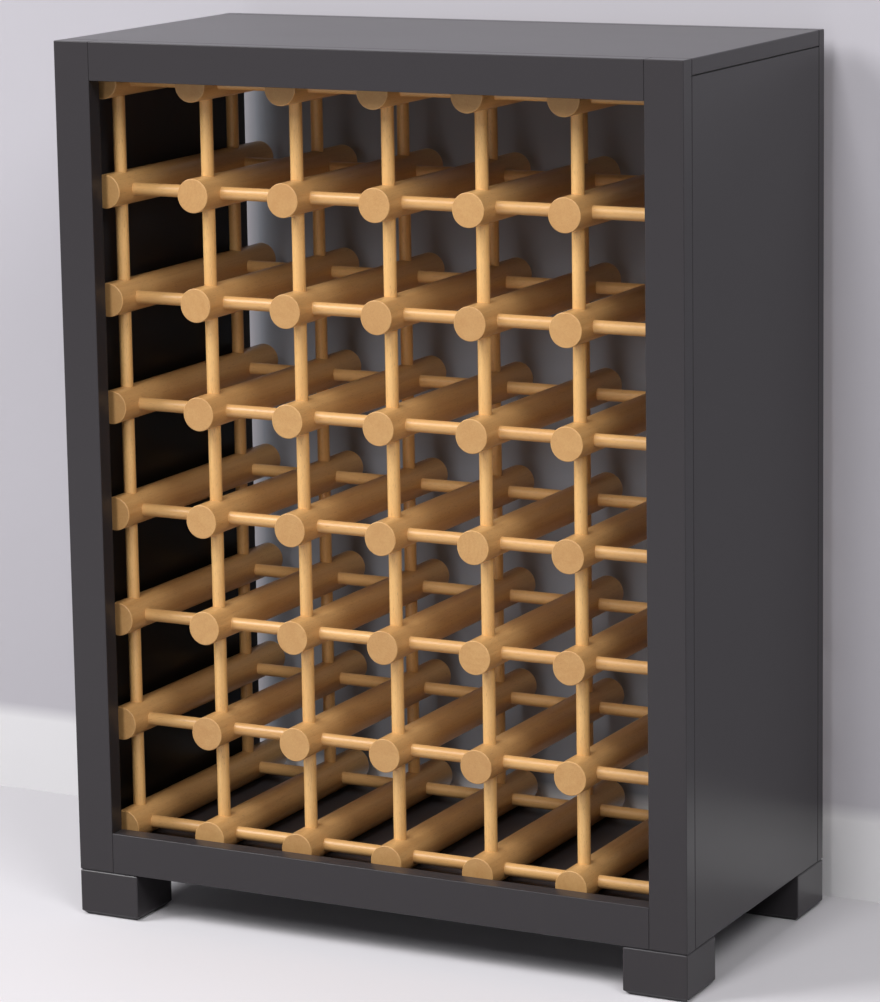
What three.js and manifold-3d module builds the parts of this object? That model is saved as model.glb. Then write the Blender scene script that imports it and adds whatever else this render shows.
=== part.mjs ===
// Open wine cabinet: a painted box on four block feet, with a lattice of wooden dowels inside it.
// Units are millimetres, +Z is up, the open front faces -Y, and the origin lies on the floor
// under the middle of the cabinet.
import * as THREE from 'three';
import { mergeVertices } from 'three/addons/utils/BufferGeometryUtils.js';
import Module from 'manifold-3d';

const wasm = await Module();
wasm.setup();

// Driving dimensions of the rack
const COLUMN_COUNT = 7;
const ROW_COUNT = 8;
const COLUMN_PITCH = 94.5;
const ROW_PITCH = 102;
const DOWEL_RADIUS = 16;
const DOWEL_LENGTH = 290;
const ROD_RADIUS = 6;
const ROD_CLEARANCE = 0.3;
const FRONT_ROD_INSET = 29;
const BACK_ROD_INSET = 52;
const ROD_END_ENGAGEMENT = 9;
const PEG_SEAT_DEPTH = 6;

// How the rack sits in the box
const RACK_SEAT_GAP = 0.3;
const RACK_SIDE_CLEARANCE = 1.5;
const RACK_TOP_CLEARANCE = 9;
const RACK_FRONT_SETBACK = 11;
const RACK_BACK_SETBACK = 3;

// Driving dimensions of the box
const FRAME_THICKNESS = 18;
const STILE_WIDTH = 37;
const TOP_RAIL_HEIGHT = 36;
const BOTTOM_RAIL_HEIGHT = 39;
const SIDE_THICKNESS = 15;
const TOP_THICKNESS = 15;
const BOTTOM_THICKNESS = 21;
const EDGING_THICKNESS = 13;
const EASED_EDGE = 0.8;

// Feet and their screws
const FOOT_SIDE = 63;
const FOOT_HEIGHT = 45;
const FOOT_BOTTOM_CHAMFER = 4;
const FOOT_TOP_CHAMFER = 1;
const COUNTERBORE_DEPTH = 18;
const SCREW_SHANK_RADIUS = 2.5;
const SCREW_HEAD_RADIUS = 5.5;
const SCREW_HEAD_HEIGHT = 3.5;
const SCREW_BITE = 14;
const SCREW_CLEARANCE = 0.3;
const SCREW_SEAT_GAP = 0.3;

// Joint pins hidden in the boards
const PIN_RADIUS = 4;
const PIN_LENGTH = 24;
const PIN_DEPTH_IN_EDGE = 14;
const PIN_CLEARANCE = 0.3;
const PIN_END_GAP = 0.5;
const PIN_SETBACK = 60;

// One overrun serves all cuts
const OVERRUN = 1;

// Facets round each kind of piece
const DOWEL_SIDES = 12;
const ROD_SIDES = 8;
const PIN_SIDES = 6;
const SCREW_SIDES = 8;
const BLOCK_SIDES = 4;

// Colours, roughness and metalness
const PAINT_COLOUR = 0x464548;
const PAINT_ROUGHNESS = 0.5;
const WOOD_COLOUR = 0xd4a569;
const WOOD_ROUGHNESS = 0.45;
const STEEL_COLOUR = 0xa8a8a6;
const STEEL_ROUGHNESS = 0.35;
const STEEL_METALNESS = 0.9;

// Sizes that follow from the rack
const rackWidth = (COLUMN_COUNT - 1) * COLUMN_PITCH + 2 * DOWEL_RADIUS;
const rackHeight = (ROW_COUNT - 1) * ROW_PITCH + 2 * DOWEL_RADIUS;
const boxWidth = rackWidth + 2 * (RACK_SIDE_CLEARANCE + SIDE_THICKNESS);
const boxDepth = FRAME_THICKNESS + RACK_FRONT_SETBACK + DOWEL_LENGTH + RACK_BACK_SETBACK;
const boxHeight = BOTTOM_THICKNESS + RACK_SEAT_GAP + rackHeight + RACK_TOP_CLEARANCE + TOP_THICKNESS;

// Planes that the pieces share
const outerX = boxWidth / 2;
const innerX = outerX - SIDE_THICKNESS;
const stileInnerX = outerX - STILE_WIDTH;
const frontY = -boxDepth / 2;
const frameBackY = frontY + FRAME_THICKNESS;
const backY = boxDepth / 2;
const edgingFrontY = backY - EDGING_THICKNESS;
const boxBottomZ = FOOT_HEIGHT;
const boxTopZ = boxBottomZ + boxHeight;
const bottomPanelTopZ = boxBottomZ + BOTTOM_THICKNESS;
const topPanelBottomZ = boxTopZ - TOP_THICKNESS;
const dowelFrontY = frameBackY + RACK_FRONT_SETBACK;
const dowelBackY = dowelFrontY + DOWEL_LENGTH;
const frontRodY = dowelFrontY + FRONT_ROD_INSET;
const backRodY = dowelBackY - BACK_ROD_INSET;
const lowestDowelZ = bottomPanelTopZ + RACK_SEAT_GAP + DOWEL_RADIUS;

const cabinet = new THREE.Group();

// Materials: each mesh gets its own copy
function painted() {
  return new THREE.MeshStandardMaterial({ color: PAINT_COLOUR, roughness: PAINT_ROUGHNESS, metalness: 0 });
}

function wooden() {
  return new THREE.MeshStandardMaterial({ color: WOOD_COLOUR, roughness: WOOD_ROUGHNESS, metalness: 0 });
}

function steel() {
  return new THREE.MeshStandardMaterial({
    color: STEEL_COLOUR, roughness: STEEL_ROUGHNESS, metalness: STEEL_METALNESS,
  });
}

function addPiece(name, geometry, material) {
  const mesh = new THREE.Mesh(geometry, material);
  mesh.name = name;
  cabinet.add(mesh);
  return mesh;
}

// A closed geometry as a solid for joining and cutting
function toSolid(geometry) {
  const bare = geometry.clone();
  bare.deleteAttribute('normal');
  bare.deleteAttribute('uv');
  const welded = mergeVertices(bare);
  const source = welded.index.array;
  const kept = [];
  for (let i = 0; i < source.length; i += 3) {
    const [a, b, c] = [source[i], source[i + 1], source[i + 2]];
    if (a !== b && b !== c && c !== a) {
      kept.push(a, b, c);
    }
  }
  const vertProperties = new Float32Array(welded.attributes.position.array);
  const triVerts = new Uint32Array(kept);
  return new wasm.Manifold(new wasm.Mesh({ numProp: 3, vertProperties, triVerts }));
}

// A joined or cut solid as a geometry again
function toGeometry(solid) {
  const mesh = solid.getMesh();
  const geometry = new THREE.BufferGeometry();
  geometry.setAttribute('position', new THREE.BufferAttribute(new Float32Array(mesh.vertProperties), 3));
  geometry.setIndex(new THREE.BufferAttribute(new Uint32Array(mesh.triVerts), 1));
  geometry.computeVertexNormals();
  return geometry;
}

// A board between two corners, with all its edges eased
function boardGeometry(low, high) {
  const size = high.clone().sub(low);
  const halfX = size.x / 2 - EASED_EDGE;
  const halfY = size.y / 2 - EASED_EDGE;
  const clip = EASED_EDGE;
  const outline = new THREE.Shape();
  outline.moveTo(-halfX + clip, -halfY);
  outline.lineTo(halfX - clip, -halfY);
  outline.lineTo(halfX, -halfY + clip);
  outline.lineTo(halfX, halfY - clip);
  outline.lineTo(halfX - clip, halfY);
  outline.lineTo(-halfX + clip, halfY);
  outline.lineTo(-halfX, halfY - clip);
  outline.lineTo(-halfX, -halfY + clip);
  outline.closePath();
  const geometry = new THREE.ExtrudeGeometry(outline, {
    depth: size.z - 2 * EASED_EDGE,
    bevelThickness: EASED_EDGE,
    bevelSize: EASED_EDGE,
    bevelSegments: 1,
  });
  geometry.translate((low.x + high.x) / 2, (low.y + high.y) / 2, low.z + EASED_EDGE);
  return geometry;
}

// A faceted round bar along X, Y or Z between two points, turned round its axis
function turnedBarGeometry(axis, cornerRadius, start, end, sides, turn) {
  const length = start.distanceTo(end);
  const geometry = new THREE.CylinderGeometry(cornerRadius, cornerRadius, length, sides, 1, false, turn);
  if (axis === 'x') {
    geometry.rotateZ(Math.PI / 2);
  }
  if (axis === 'z') {
    geometry.rotateX(Math.PI / 2);
  }
  const middle = start.clone().add(end).divideScalar(2);
  geometry.translate(middle.x, middle.y, middle.z);
  return geometry;
}

// A bar whose flats touch its radius, with a flat facing each way
function barGeometry(axis, radius, start, end, sides) {
  return turnedBarGeometry(axis, radius / Math.cos(Math.PI / sides), start, end, sides, Math.PI / sides);
}

// Cuts a list of tools out of one geometry
function cutGeometry(geometry, tools) {
  let solid = toSolid(geometry);
  for (const tool of tools) {
    solid = solid.subtract(toSolid(tool));
  }
  return toGeometry(solid);
}

// Joint pins: each pin bridges two boards, and both boards are cut for it
const pinHoles = new Map();

function pinBetween(name, axis, joint, inward, boards) {
  const deep = joint.clone().addScaledVector(inward, PIN_DEPTH_IN_EDGE);
  const shallow = deep.clone().addScaledVector(inward, -PIN_LENGTH);
  addPiece(name, barGeometry(axis, PIN_RADIUS, shallow, deep, PIN_SIDES), wooden());
  const holeStart = shallow.clone().addScaledVector(inward, -PIN_END_GAP);
  const holeEnd = deep.clone().addScaledVector(inward, PIN_END_GAP);
  const hole = barGeometry(axis, PIN_RADIUS + PIN_CLEARANCE, holeStart, holeEnd, PIN_SIDES);
  for (const board of boards) {
    pinHoles.set(board, [...(pinHoles.get(board) ?? []), hole]);
  }
}

const SIDES = [
  { word: 'left', sign: -1 },
  { word: 'right', sign: 1 },
];
const ENDS = [
  { word: 'front', sign: -1 },
  { word: 'back', sign: 1 },
];

// Where the pins of the side panels stand, front and back
function pinY(end) {
  const edgeY = end.sign < 0 ? frameBackY : edgingFrontY;
  return edgeY - end.sign * PIN_SETBACK;
}

for (const side of SIDES) {
  const inward = new THREE.Vector3(-side.sign, 0, 0);
  const down = new THREE.Vector3(0, 0, -1);
  const sidePanel = `side_panel_${side.word}`;
  for (const end of ENDS) {
    const topJoint = new THREE.Vector3(side.sign * (innerX + SIDE_THICKNESS / 2), pinY(end), topPanelBottomZ);
    pinBetween(`top_pin_${side.word}_${end.word}`, 'z', topJoint, down, ['top_panel', sidePanel]);
    const bottomZ = boxBottomZ + BOTTOM_THICKNESS / 2;
    const bottomJoint = new THREE.Vector3(side.sign * innerX, pinY(end), bottomZ);
    pinBetween(`bottom_pin_${side.word}_${end.word}`, 'x', bottomJoint, inward, ['bottom_panel', sidePanel]);
  }
}

// Feet: square blocks, chamfered at the floor, each held by one screw from below
const footCentreX = outerX - FOOT_SIDE / 2;
const footCentreY = backY - FOOT_SIDE / 2;
const counterboreRadius = SCREW_HEAD_RADIUS + SCREW_CLEARANCE;
const shankHoleRadius = SCREW_SHANK_RADIUS + SCREW_CLEARANCE;
const shoulderZ = COUNTERBORE_DEPTH;
const screwTipZ = FOOT_HEIGHT + SCREW_BITE;

// The block is a revolve in four steps, so its radius runs to the corners
function footBlock() {
  const corner = (inset) => (FOOT_SIDE / 2 - inset) * Math.SQRT2;
  const profile = [
    new THREE.Vector2(0, 0),
    new THREE.Vector2(corner(FOOT_BOTTOM_CHAMFER), 0),
    new THREE.Vector2(corner(0), FOOT_BOTTOM_CHAMFER),
    new THREE.Vector2(corner(0), FOOT_HEIGHT - FOOT_TOP_CHAMFER),
    new THREE.Vector2(corner(FOOT_TOP_CHAMFER), FOOT_HEIGHT),
    new THREE.Vector2(0, FOOT_HEIGHT),
  ];
  const block = new THREE.LatheGeometry(profile, BLOCK_SIDES, Math.PI / BLOCK_SIDES);
  block.rotateX(Math.PI / 2);
  return block;
}

function screwGeometry() {
  const headTopZ = shoulderZ - SCREW_SEAT_GAP;
  const profile = [
    new THREE.Vector2(0, headTopZ - SCREW_HEAD_HEIGHT),
    new THREE.Vector2(SCREW_HEAD_RADIUS, headTopZ - SCREW_HEAD_HEIGHT),
    new THREE.Vector2(SCREW_HEAD_RADIUS, headTopZ),
    new THREE.Vector2(SCREW_SHANK_RADIUS, headTopZ),
    new THREE.Vector2(SCREW_SHANK_RADIUS, screwTipZ - SCREW_SHANK_RADIUS),
    new THREE.Vector2(0, screwTipZ),
  ];
  const screw = new THREE.LatheGeometry(profile, SCREW_SIDES);
  screw.rotateX(Math.PI / 2);
  return screw;
}

function uprightBar(radius, bottomZ, topZ, sides) {
  return barGeometry('z', radius, new THREE.Vector3(0, 0, bottomZ), new THREE.Vector3(0, 0, topZ), sides);
}

const footGeometry = cutGeometry(footBlock(), [
  uprightBar(counterboreRadius, -OVERRUN, shoulderZ, SCREW_SIDES),
  uprightBar(shankHoleRadius, -OVERRUN, FOOT_HEIGHT + OVERRUN, SCREW_SIDES),
]);

const pilotHoles = [];
for (const side of SIDES) {
  for (const end of ENDS) {
    const place = new THREE.Vector3(side.sign * footCentreX, end.sign * footCentreY, 0);
    addPiece(`foot_${end.word}_${side.word}`, footGeometry.clone(), painted()).position.copy(place);
    const screw = addPiece(`foot_screw_${end.word}_${side.word}`, screwGeometry(), steel());
    screw.position.copy(place);
    const pilot = uprightBar(shankHoleRadius, boxBottomZ - OVERRUN, screwTipZ + SCREW_SEAT_GAP, SCREW_SIDES);
    pilot.translate(place.x, place.y, 0);
    pilotHoles.push(pilot);
  }
}

// Boards of the box, each with the holes that its pins and screws need
function addBoard(name, low, high, extraCuts = []) {
  const cuts = [...(pinHoles.get(name) ?? []), ...extraCuts];
  const board = boardGeometry(low, high);
  addPiece(name, cuts.length > 0 ? cutGeometry(board, cuts) : board, painted());
}

function corner(x, y, z) {
  return new THREE.Vector3(x, y, z);
}

addBoard('top_panel', corner(-outerX, frameBackY, topPanelBottomZ), corner(outerX, edgingFrontY, boxTopZ));
addBoard(
  'bottom_panel',
  corner(-innerX, frameBackY, boxBottomZ), corner(innerX, edgingFrontY, bottomPanelTopZ), pilotHoles,
);
addBoard(
  'front_rail_top',
  corner(-stileInnerX, frontY, boxTopZ - TOP_RAIL_HEIGHT), corner(stileInnerX, frameBackY, boxTopZ),
);
addBoard(
  'front_rail_bottom',
  corner(-stileInnerX, frontY, boxBottomZ), corner(stileInnerX, frameBackY, boxBottomZ + BOTTOM_RAIL_HEIGHT),
);
addBoard('back_edging_top', corner(-innerX, edgingFrontY, topPanelBottomZ), corner(innerX, backY, boxTopZ));
addBoard('back_edging_bottom', corner(-innerX, edgingFrontY, boxBottomZ), corner(innerX, backY, bottomPanelTopZ));

// The left and right boards mirror each other about the middle
for (const side of SIDES) {
  const span = (insideX) => [Math.min(side.sign * insideX, side.sign * outerX),
    Math.max(side.sign * insideX, side.sign * outerX)];
  const [panelLowX, panelHighX] = span(innerX);
  const [stileLowX, stileHighX] = span(stileInnerX);
  addBoard(
    `side_panel_${side.word}`,
    corner(panelLowX, frameBackY, boxBottomZ), corner(panelHighX, edgingFrontY, topPanelBottomZ),
  );
  addBoard(
    `front_stile_${side.word}`,
    corner(stileLowX, frontY, boxBottomZ), corner(stileHighX, frameBackY, boxTopZ),
  );
  addBoard(
    `back_edging_${side.word}`,
    corner(panelLowX, edgingFrontY, boxBottomZ), corner(panelHighX, backY, boxTopZ),
  );
}

// Rack: the place of a column and of a row, counted from the left and from the bottom
function columnX(column) {
  return (column - (COLUMN_COUNT - 1) / 2) * COLUMN_PITCH;
}

function rowZ(row) {
  return lowestDowelZ + row * ROW_PITCH;
}

const rodPlanes = [
  { word: 'front', y: frontRodY },
  { word: 'back', y: backRodY },
];
const lowestRodZ = rowZ(0) - ROD_END_ENGAGEMENT;
const highestRodZ = rowZ(ROW_COUNT - 1) + ROD_END_ENGAGEMENT;

// A tier is one row of deep dowels, and comes in two halves. The right half's pegs seat in the left
// half's last dowel, as every peg does in its dowels.
const leftColumnCount = Math.ceil(COLUMN_COUNT / 2);
const joinX = columnX(leftColumnCount - 1) + DOWEL_RADIUS - PEG_SEAT_DEPTH;
const halfTiers = [
  {
    word: 'left',
    first: 0,
    last: leftColumnCount - 1,
    pegStartX: columnX(0),
    pegEndX: columnX(leftColumnCount - 1),
  },
  {
    word: 'right',
    first: leftColumnCount,
    last: COLUMN_COUNT - 1,
    pegStartX: joinX,
    pegEndX: columnX(COLUMN_COUNT - 1),
  },
];

// Each dowel has a corner facing each way, so that a peg or a hole crosses one edge and no more
function dowelSolid(column, z) {
  const x = columnX(column);
  return toSolid(turnedBarGeometry(
    'y', DOWEL_RADIUS, corner(x, dowelFrontY, z), corner(x, dowelBackY, z), DOWEL_SIDES, 0,
  ));
}

// The uprights run through a dowel, apart from the lowest and the highest, where they end inside
function uprightHole(column, plane, z) {
  const x = columnX(column);
  const bottomZ = Math.max(z - DOWEL_RADIUS - OVERRUN, lowestRodZ - ROD_CLEARANCE);
  const topZ = Math.min(z + DOWEL_RADIUS + OVERRUN, highestRodZ + ROD_CLEARANCE);
  const holeRadius = ROD_RADIUS + ROD_CLEARANCE;
  return toSolid(barGeometry('z', holeRadius, corner(x, plane.y, bottomZ), corner(x, plane.y, topZ), ROD_SIDES));
}

// The blind hole in the left half's last dowel for the right half's first peg
function pegHole(plane, z) {
  const start = corner(joinX - ROD_CLEARANCE, plane.y, z);
  const end = corner(columnX(leftColumnCount - 1) + DOWEL_RADIUS + OVERRUN, plane.y, z);
  return toSolid(barGeometry('x', ROD_RADIUS + ROD_CLEARANCE, start, end, ROD_SIDES));
}

function halfTierGeometry(half, z) {
  let tier = dowelSolid(half.first, z);
  for (let column = half.first + 1; column <= half.last; column += 1) {
    tier = tier.add(dowelSolid(column, z));
  }
  for (const plane of rodPlanes) {
    const pegs = barGeometry(
      'x', ROD_RADIUS, corner(half.pegStartX, plane.y, z), corner(half.pegEndX, plane.y, z), ROD_SIDES,
    );
    tier = tier.add(toSolid(pegs));
    if (half.first === 0) {
      tier = tier.subtract(pegHole(plane, z));
    }
  }
  for (const plane of rodPlanes) {
    for (let column = half.first; column <= half.last; column += 1) {
      tier = tier.subtract(uprightHole(column, plane, z));
    }
  }
  return toGeometry(tier);
}

for (let row = 0; row < ROW_COUNT; row += 1) {
  for (const half of halfTiers) {
    addPiece(`dowel_tier_${ROW_COUNT - row}_${half.word}`, halfTierGeometry(half, rowZ(row)), wooden());
  }
}

// Upright rods run through all the tiers and end inside the lowest and the highest
for (const plane of rodPlanes) {
  for (let column = 0; column < COLUMN_COUNT; column += 1) {
    const x = columnX(column);
    const rod = barGeometry(
      'z', ROD_RADIUS, corner(x, plane.y, lowestRodZ), corner(x, plane.y, highestRodZ), ROD_SIDES,
    );
    addPiece(`upright_rod_${plane.word}_${column + 1}`, rod, wooden());
  }
}

export default cabinet;
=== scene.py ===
"""Dresses the open wine cabinet: a satin charcoal box on block feet around a honey wood dowel rack.

Lengths are metres, +Z is up and the open front faces -Y. Every piece holds its place in its mesh, and stands
where the frame nodes that it replaces do.
"""

import logging
import math
from dataclasses import dataclass, field
from enum import Enum

import bpy
import numpy as np
from mathutils import Matrix, Vector

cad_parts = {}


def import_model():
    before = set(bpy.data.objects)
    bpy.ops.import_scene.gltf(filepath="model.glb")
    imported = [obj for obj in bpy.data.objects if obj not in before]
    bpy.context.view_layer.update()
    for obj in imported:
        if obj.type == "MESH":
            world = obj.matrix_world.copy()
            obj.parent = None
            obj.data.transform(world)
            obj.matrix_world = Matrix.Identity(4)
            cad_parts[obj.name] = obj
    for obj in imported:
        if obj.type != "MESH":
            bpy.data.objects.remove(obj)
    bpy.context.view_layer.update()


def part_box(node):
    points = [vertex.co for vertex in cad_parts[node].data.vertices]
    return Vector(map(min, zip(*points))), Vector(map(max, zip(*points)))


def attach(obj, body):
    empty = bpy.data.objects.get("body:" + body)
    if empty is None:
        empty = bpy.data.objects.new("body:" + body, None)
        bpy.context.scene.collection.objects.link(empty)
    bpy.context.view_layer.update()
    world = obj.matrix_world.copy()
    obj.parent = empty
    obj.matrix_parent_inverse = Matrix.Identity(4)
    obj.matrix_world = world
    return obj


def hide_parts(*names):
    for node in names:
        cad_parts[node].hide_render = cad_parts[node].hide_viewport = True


LOG = logging.getLogger("wine_cabinet")
BODY = "root"
MM = 0.001
SEED = 17
ENDS = ("front", "back")
SIDES = ("left", "right")

# The photograph's height in pixels, and the long side of the film behind the lens in millimetres
PHOTO_HEIGHT = 1002
FILM_SIDE = 36.0

# The kinds of socket that a node group has
FLOAT = "NodeSocketFloat"
VECTOR = "NodeSocketVector"
COLOUR = "NodeSocketColor"

Colour = tuple[float, float, float, float]
Place = tuple[float, float, float]
Socket = bpy.types.NodeSocket


class Axis(Enum):
    """The way that a turned stick runs: its own axis, then two cross axes that follow it right-handed."""

    X = (0, 1, 2)
    Y = (1, 2, 0)
    Z = (2, 0, 1)

    @property
    def along(self) -> int:
        """The index of the axis that the stick runs along."""
        return self.value[0]


class Slot(Enum):
    """The finishes that the record names."""

    PAINT = "charcoal_paint"
    WOOD = "rack_wood"
    STEEL = "screw_steel"


@dataclass(frozen=True)
class Box:
    """A box with its sides along the axes."""

    low: np.ndarray
    high: np.ndarray

    @staticmethod
    def of(node: str) -> "Box":
        """The box of a frame node."""
        return Box(*(np.array(corner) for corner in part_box(node)))

    @property
    def size(self) -> np.ndarray:
        """Its length on each axis."""
        return self.high - self.low

    @property
    def centre(self) -> np.ndarray:
        """Its middle."""
        return (self.low + self.high) / 2

    @property
    def foot(self) -> np.ndarray:
        """The middle of its underside."""
        return np.array([*self.centre[:2], self.low[2]])

    def nearness(self, points: np.ndarray, reach: float) -> np.ndarray:
        """One less each point's distance from the box, counted in reaches, and never below zero."""
        outside = np.maximum(np.maximum(self.low - points, points - self.high), 0.0)
        return np.clip(1 - np.linalg.norm(outside, axis=1) / reach, 0.0, 1.0)


@dataclass
class Surface:
    """A closed surface held as whole arrays."""

    points: np.ndarray  # places of the vertices, one row each
    normals: np.ndarray  # the outward direction at each vertex
    faces: list[np.ndarray]  # vertex numbers, one row a face, each array with its own number of corners
    marks: dict[str, np.ndarray] = field(default_factory=dict)  # values at the vertices for the materials

    @staticmethod
    def joined(parts: list["Surface"]) -> "Surface":
        """Lays several surfaces into one, each with its vertex numbers moved up past those before it.

        Args:
            parts: the surfaces, which all carry the same marks.

        Returns:
            One surface with all their vertices and faces.
        """
        starts = np.cumsum([0] + [len(part.points) for part in parts[:-1]])
        faces = [rows + start for part, start in zip(parts, starts) for rows in part.faces]
        marks = {name: np.concatenate([part.marks[name] for part in parts]) for name in parts[0].marks}
        points = np.concatenate([part.points for part in parts])
        normals = np.concatenate([part.normals for part in parts])
        return Surface(points, normals, faces, marks)

    @staticmethod
    def faceted(points: np.ndarray, faces: list[np.ndarray], edge: np.ndarray) -> "Surface":
        """A surface whose normals come from its faces, each counted by its area.

        A face's area vector is half the cross product of its diagonals, or of two sides of a triangle. Each
        vertex sums those of its faces, and the sum is made a unit vector.

        Args:
            points: places of the vertices.
            faces: vertex numbers, one row a face.
            edge: the mark "edge" at each vertex.

        Returns:
            The surface.
        """
        total = np.zeros_like(points)
        for rows in faces:
            corner = points[rows]
            if rows.shape[1] == 4:
                area = np.cross(corner[:, 2] - corner[:, 0], corner[:, 3] - corner[:, 1])
            else:
                area = np.cross(corner[:, 1] - corner[:, 0], corner[:, 2] - corner[:, 0])
            for column in range(rows.shape[1]):
                np.add.at(total, rows[:, column], area)
        length = np.maximum(np.linalg.norm(total, axis=1, keepdims=True), 1e-12)
        return Surface(points, total / length, faces, {"edge": edge})

    def piece(self, name: str) -> bpy.types.Object:
        """Makes a smooth shaded object of the surface, with its own normals and marks.

        Args:
            name: the piece's name.

        Returns:
            The object, at the origin, in the scene's collection.
        """
        mesh = bpy.data.meshes.new(name)
        rows = [row for block in self.faces for row in block.tolist()]
        mesh.from_pydata(self.points.tolist(), [], rows)
        mesh.polygons.foreach_set("use_smooth", np.ones(len(rows), bool))
        for mark, values in self.marks.items():
            vector = values.ndim > 1
            layer = mesh.attributes.new(mark, "FLOAT_VECTOR" if vector else "FLOAT", "POINT")
            layer.data.foreach_set("vector" if vector else "value", values.astype(np.float32).ravel())
        mesh.update()
        mesh.normals_split_custom_set_from_vertices(self.normals.astype(np.float32))
        piece = bpy.data.objects.new(name, mesh)
        bpy.context.scene.collection.objects.link(piece)
        return piece


def rounded_block(box: Box, radius: float, steps: int = 3) -> Surface:
    """A block whose edges and corners are rounded.

    Each axis has a row of stations from -1 to 0 at its low end and from 0 to 1 at its high end. A skin point
    has an outer station on at least one axis. It lies on the nearest corner of the block drawn in by the
    radius, plus the radius along the unit vector whose components are the tangents of 45 degrees times the
    stations. So flats, edges and corners come from one formula, and that unit vector is the normal. The mark
    is one less the normal's largest part, divided by what that makes in the middle of an edge.

    Args:
        box: the block's box.
        radius: the radius of the rounding.
        steps: stations from a flat to the middle of an edge.

    Returns:
        The surface, marked "edge" from 0 on the flats to 1 along the middle of each edge.
    """
    turn = np.linspace(0.0, 1.0, steps + 1)
    stations = np.concatenate([-turn[::-1], turn])
    count = stations.size
    ends = np.where(np.arange(count) <= steps, -1.0, 1.0)
    lattice = np.indices((count, count, count)).reshape(3, -1).T
    lattice = lattice[((lattice == 0) | (lattice == count - 1)).any(axis=1)]
    direction = np.tan(stations[lattice] * math.pi / 4)
    direction /= np.linalg.norm(direction, axis=1, keepdims=True)
    points = box.centre + ends[lattice] * (box.size / 2 - radius) + radius * direction
    number = np.full((count, count, count), -1)
    number[tuple(lattice.T)] = np.arange(len(lattice))
    first, second = np.indices((count - 1, count - 1)).reshape(2, -1)
    faces = []
    for axis in Axis:
        for end in (0, count - 1):
            corners = []
            for step_a, step_b in ((0, 0), (1, 0), (1, 1), (0, 1)):
                place = dict(zip(axis.value, (np.full(first.size, end), first + step_a, second + step_b)))
                corners.append(number[place[0], place[1], place[2]])
            quads = np.stack(corners, axis=1)
            faces.append(quads if end else quads[:, ::-1])
    flatness = np.abs(direction).max(axis=1)
    edge = np.clip((1 - flatness) / (1 - math.sqrt(0.5)), 0.0, 1.0)
    return Surface(points, direction, faces, {"edge": edge})


def ring_faces(rings: int, sides: int) -> list[np.ndarray]:
    """The faces of a skin whose points are rings, then a pole before the first ring and one past the last.

    Args:
        rings: how many rings there are.
        sides: points in each ring.

    Returns:
        The four-sided faces between the rings, and the triangles round the two poles.
    """
    ring = np.arange(sides)
    after = (ring + 1) % sides
    bands = np.arange(rings - 1)[:, None] * sides
    quads = np.stack([bands + ring, bands + after, bands + sides + after, bands + sides + ring], axis=2)
    last = (rings - 1) * sides
    pole = np.full(sides, rings * sides)
    caps = [[pole, after, ring], [pole + 1, last + ring, last + after]]
    return [quads.reshape(-1, 4), np.concatenate([np.stack(cap, axis=1) for cap in caps])]


def spun(along: np.ndarray, across: np.ndarray, sides: int) -> np.ndarray:
    """Carries values given along and across an axis round that axis.

    Args:
        along: the part along the axis at each station. The first and the last station are poles.
        across: the part across it.
        sides: places round the axis.

    Returns:
        One row for each place of each ring, then one for each pole: the part along, and the part across
        times the cosine and the sine of the place's angle.
    """
    angles = np.arange(sides) * 2 * math.pi / sides
    turn = np.stack([np.cos(angles), np.sin(angles)], axis=1)
    flat = (across[1:-1, None, None] * turn).reshape(-1, 2)
    rings = np.column_stack([np.repeat(along[1:-1], sides), flat])
    return np.concatenate([rings, [[along[0], 0.0, 0.0], [along[-1], 0.0, 0.0]]])


@dataclass(frozen=True)
class Stock:
    """What a kind of round stick is cut from."""

    radius: float
    rim: float  # the rounding of its ends
    sides: int  # flats round it
    tone: float = 0.0  # the middle of the tones that it may take, from -1, pale, to 1, dark
    rim_steps: int = 4  # spans over the rounding

    def turned(self, axis: Axis, foot: np.ndarray, length: float) -> Surface:
        """A plain round stick with a rounded rim at each end.

        The near rim is a quarter circle: at angle t the radius is that of the flat end plus rim sin t, and
        the height is rim (1 - cos t). The far rim is the same quarter, mirrored. At height s, radius r and
        angle u the point is the foot, plus s along the axis, plus r cos u and r sin u along the cross axes.

        Args:
            axis: the way that it runs.
            foot: the middle of its near end.
            length: its length.

        Returns:
            The surface, marked "round" with each vertex's height and its two cross distances.
        """
        turn = np.linspace(0.0, math.pi / 2, self.rim_steps + 1)
        radii = self.radius - self.rim + self.rim * np.sin(turn)
        heights = self.rim * (1 - np.cos(turn))
        radii = np.concatenate([[0.0], radii, radii[::-1], [0.0]])
        heights = np.concatenate([[0.0], heights, length - heights[::-1], [length]])
        lean_out = np.concatenate([[0.0], np.sin(turn), np.sin(turn)[::-1], [0.0]])
        lean_up = np.concatenate([[-1.0], -np.cos(turn), np.cos(turn)[::-1], [1.0]])
        local = spun(heights, radii, self.sides)
        points, normals = np.empty_like(local), np.empty_like(local)
        points[:, axis.value] = local
        normals[:, axis.value] = spun(lean_up, lean_out, self.sides)
        return Surface(points + foot, normals, ring_faces(radii.size - 2, self.sides), {"round": local})


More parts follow.
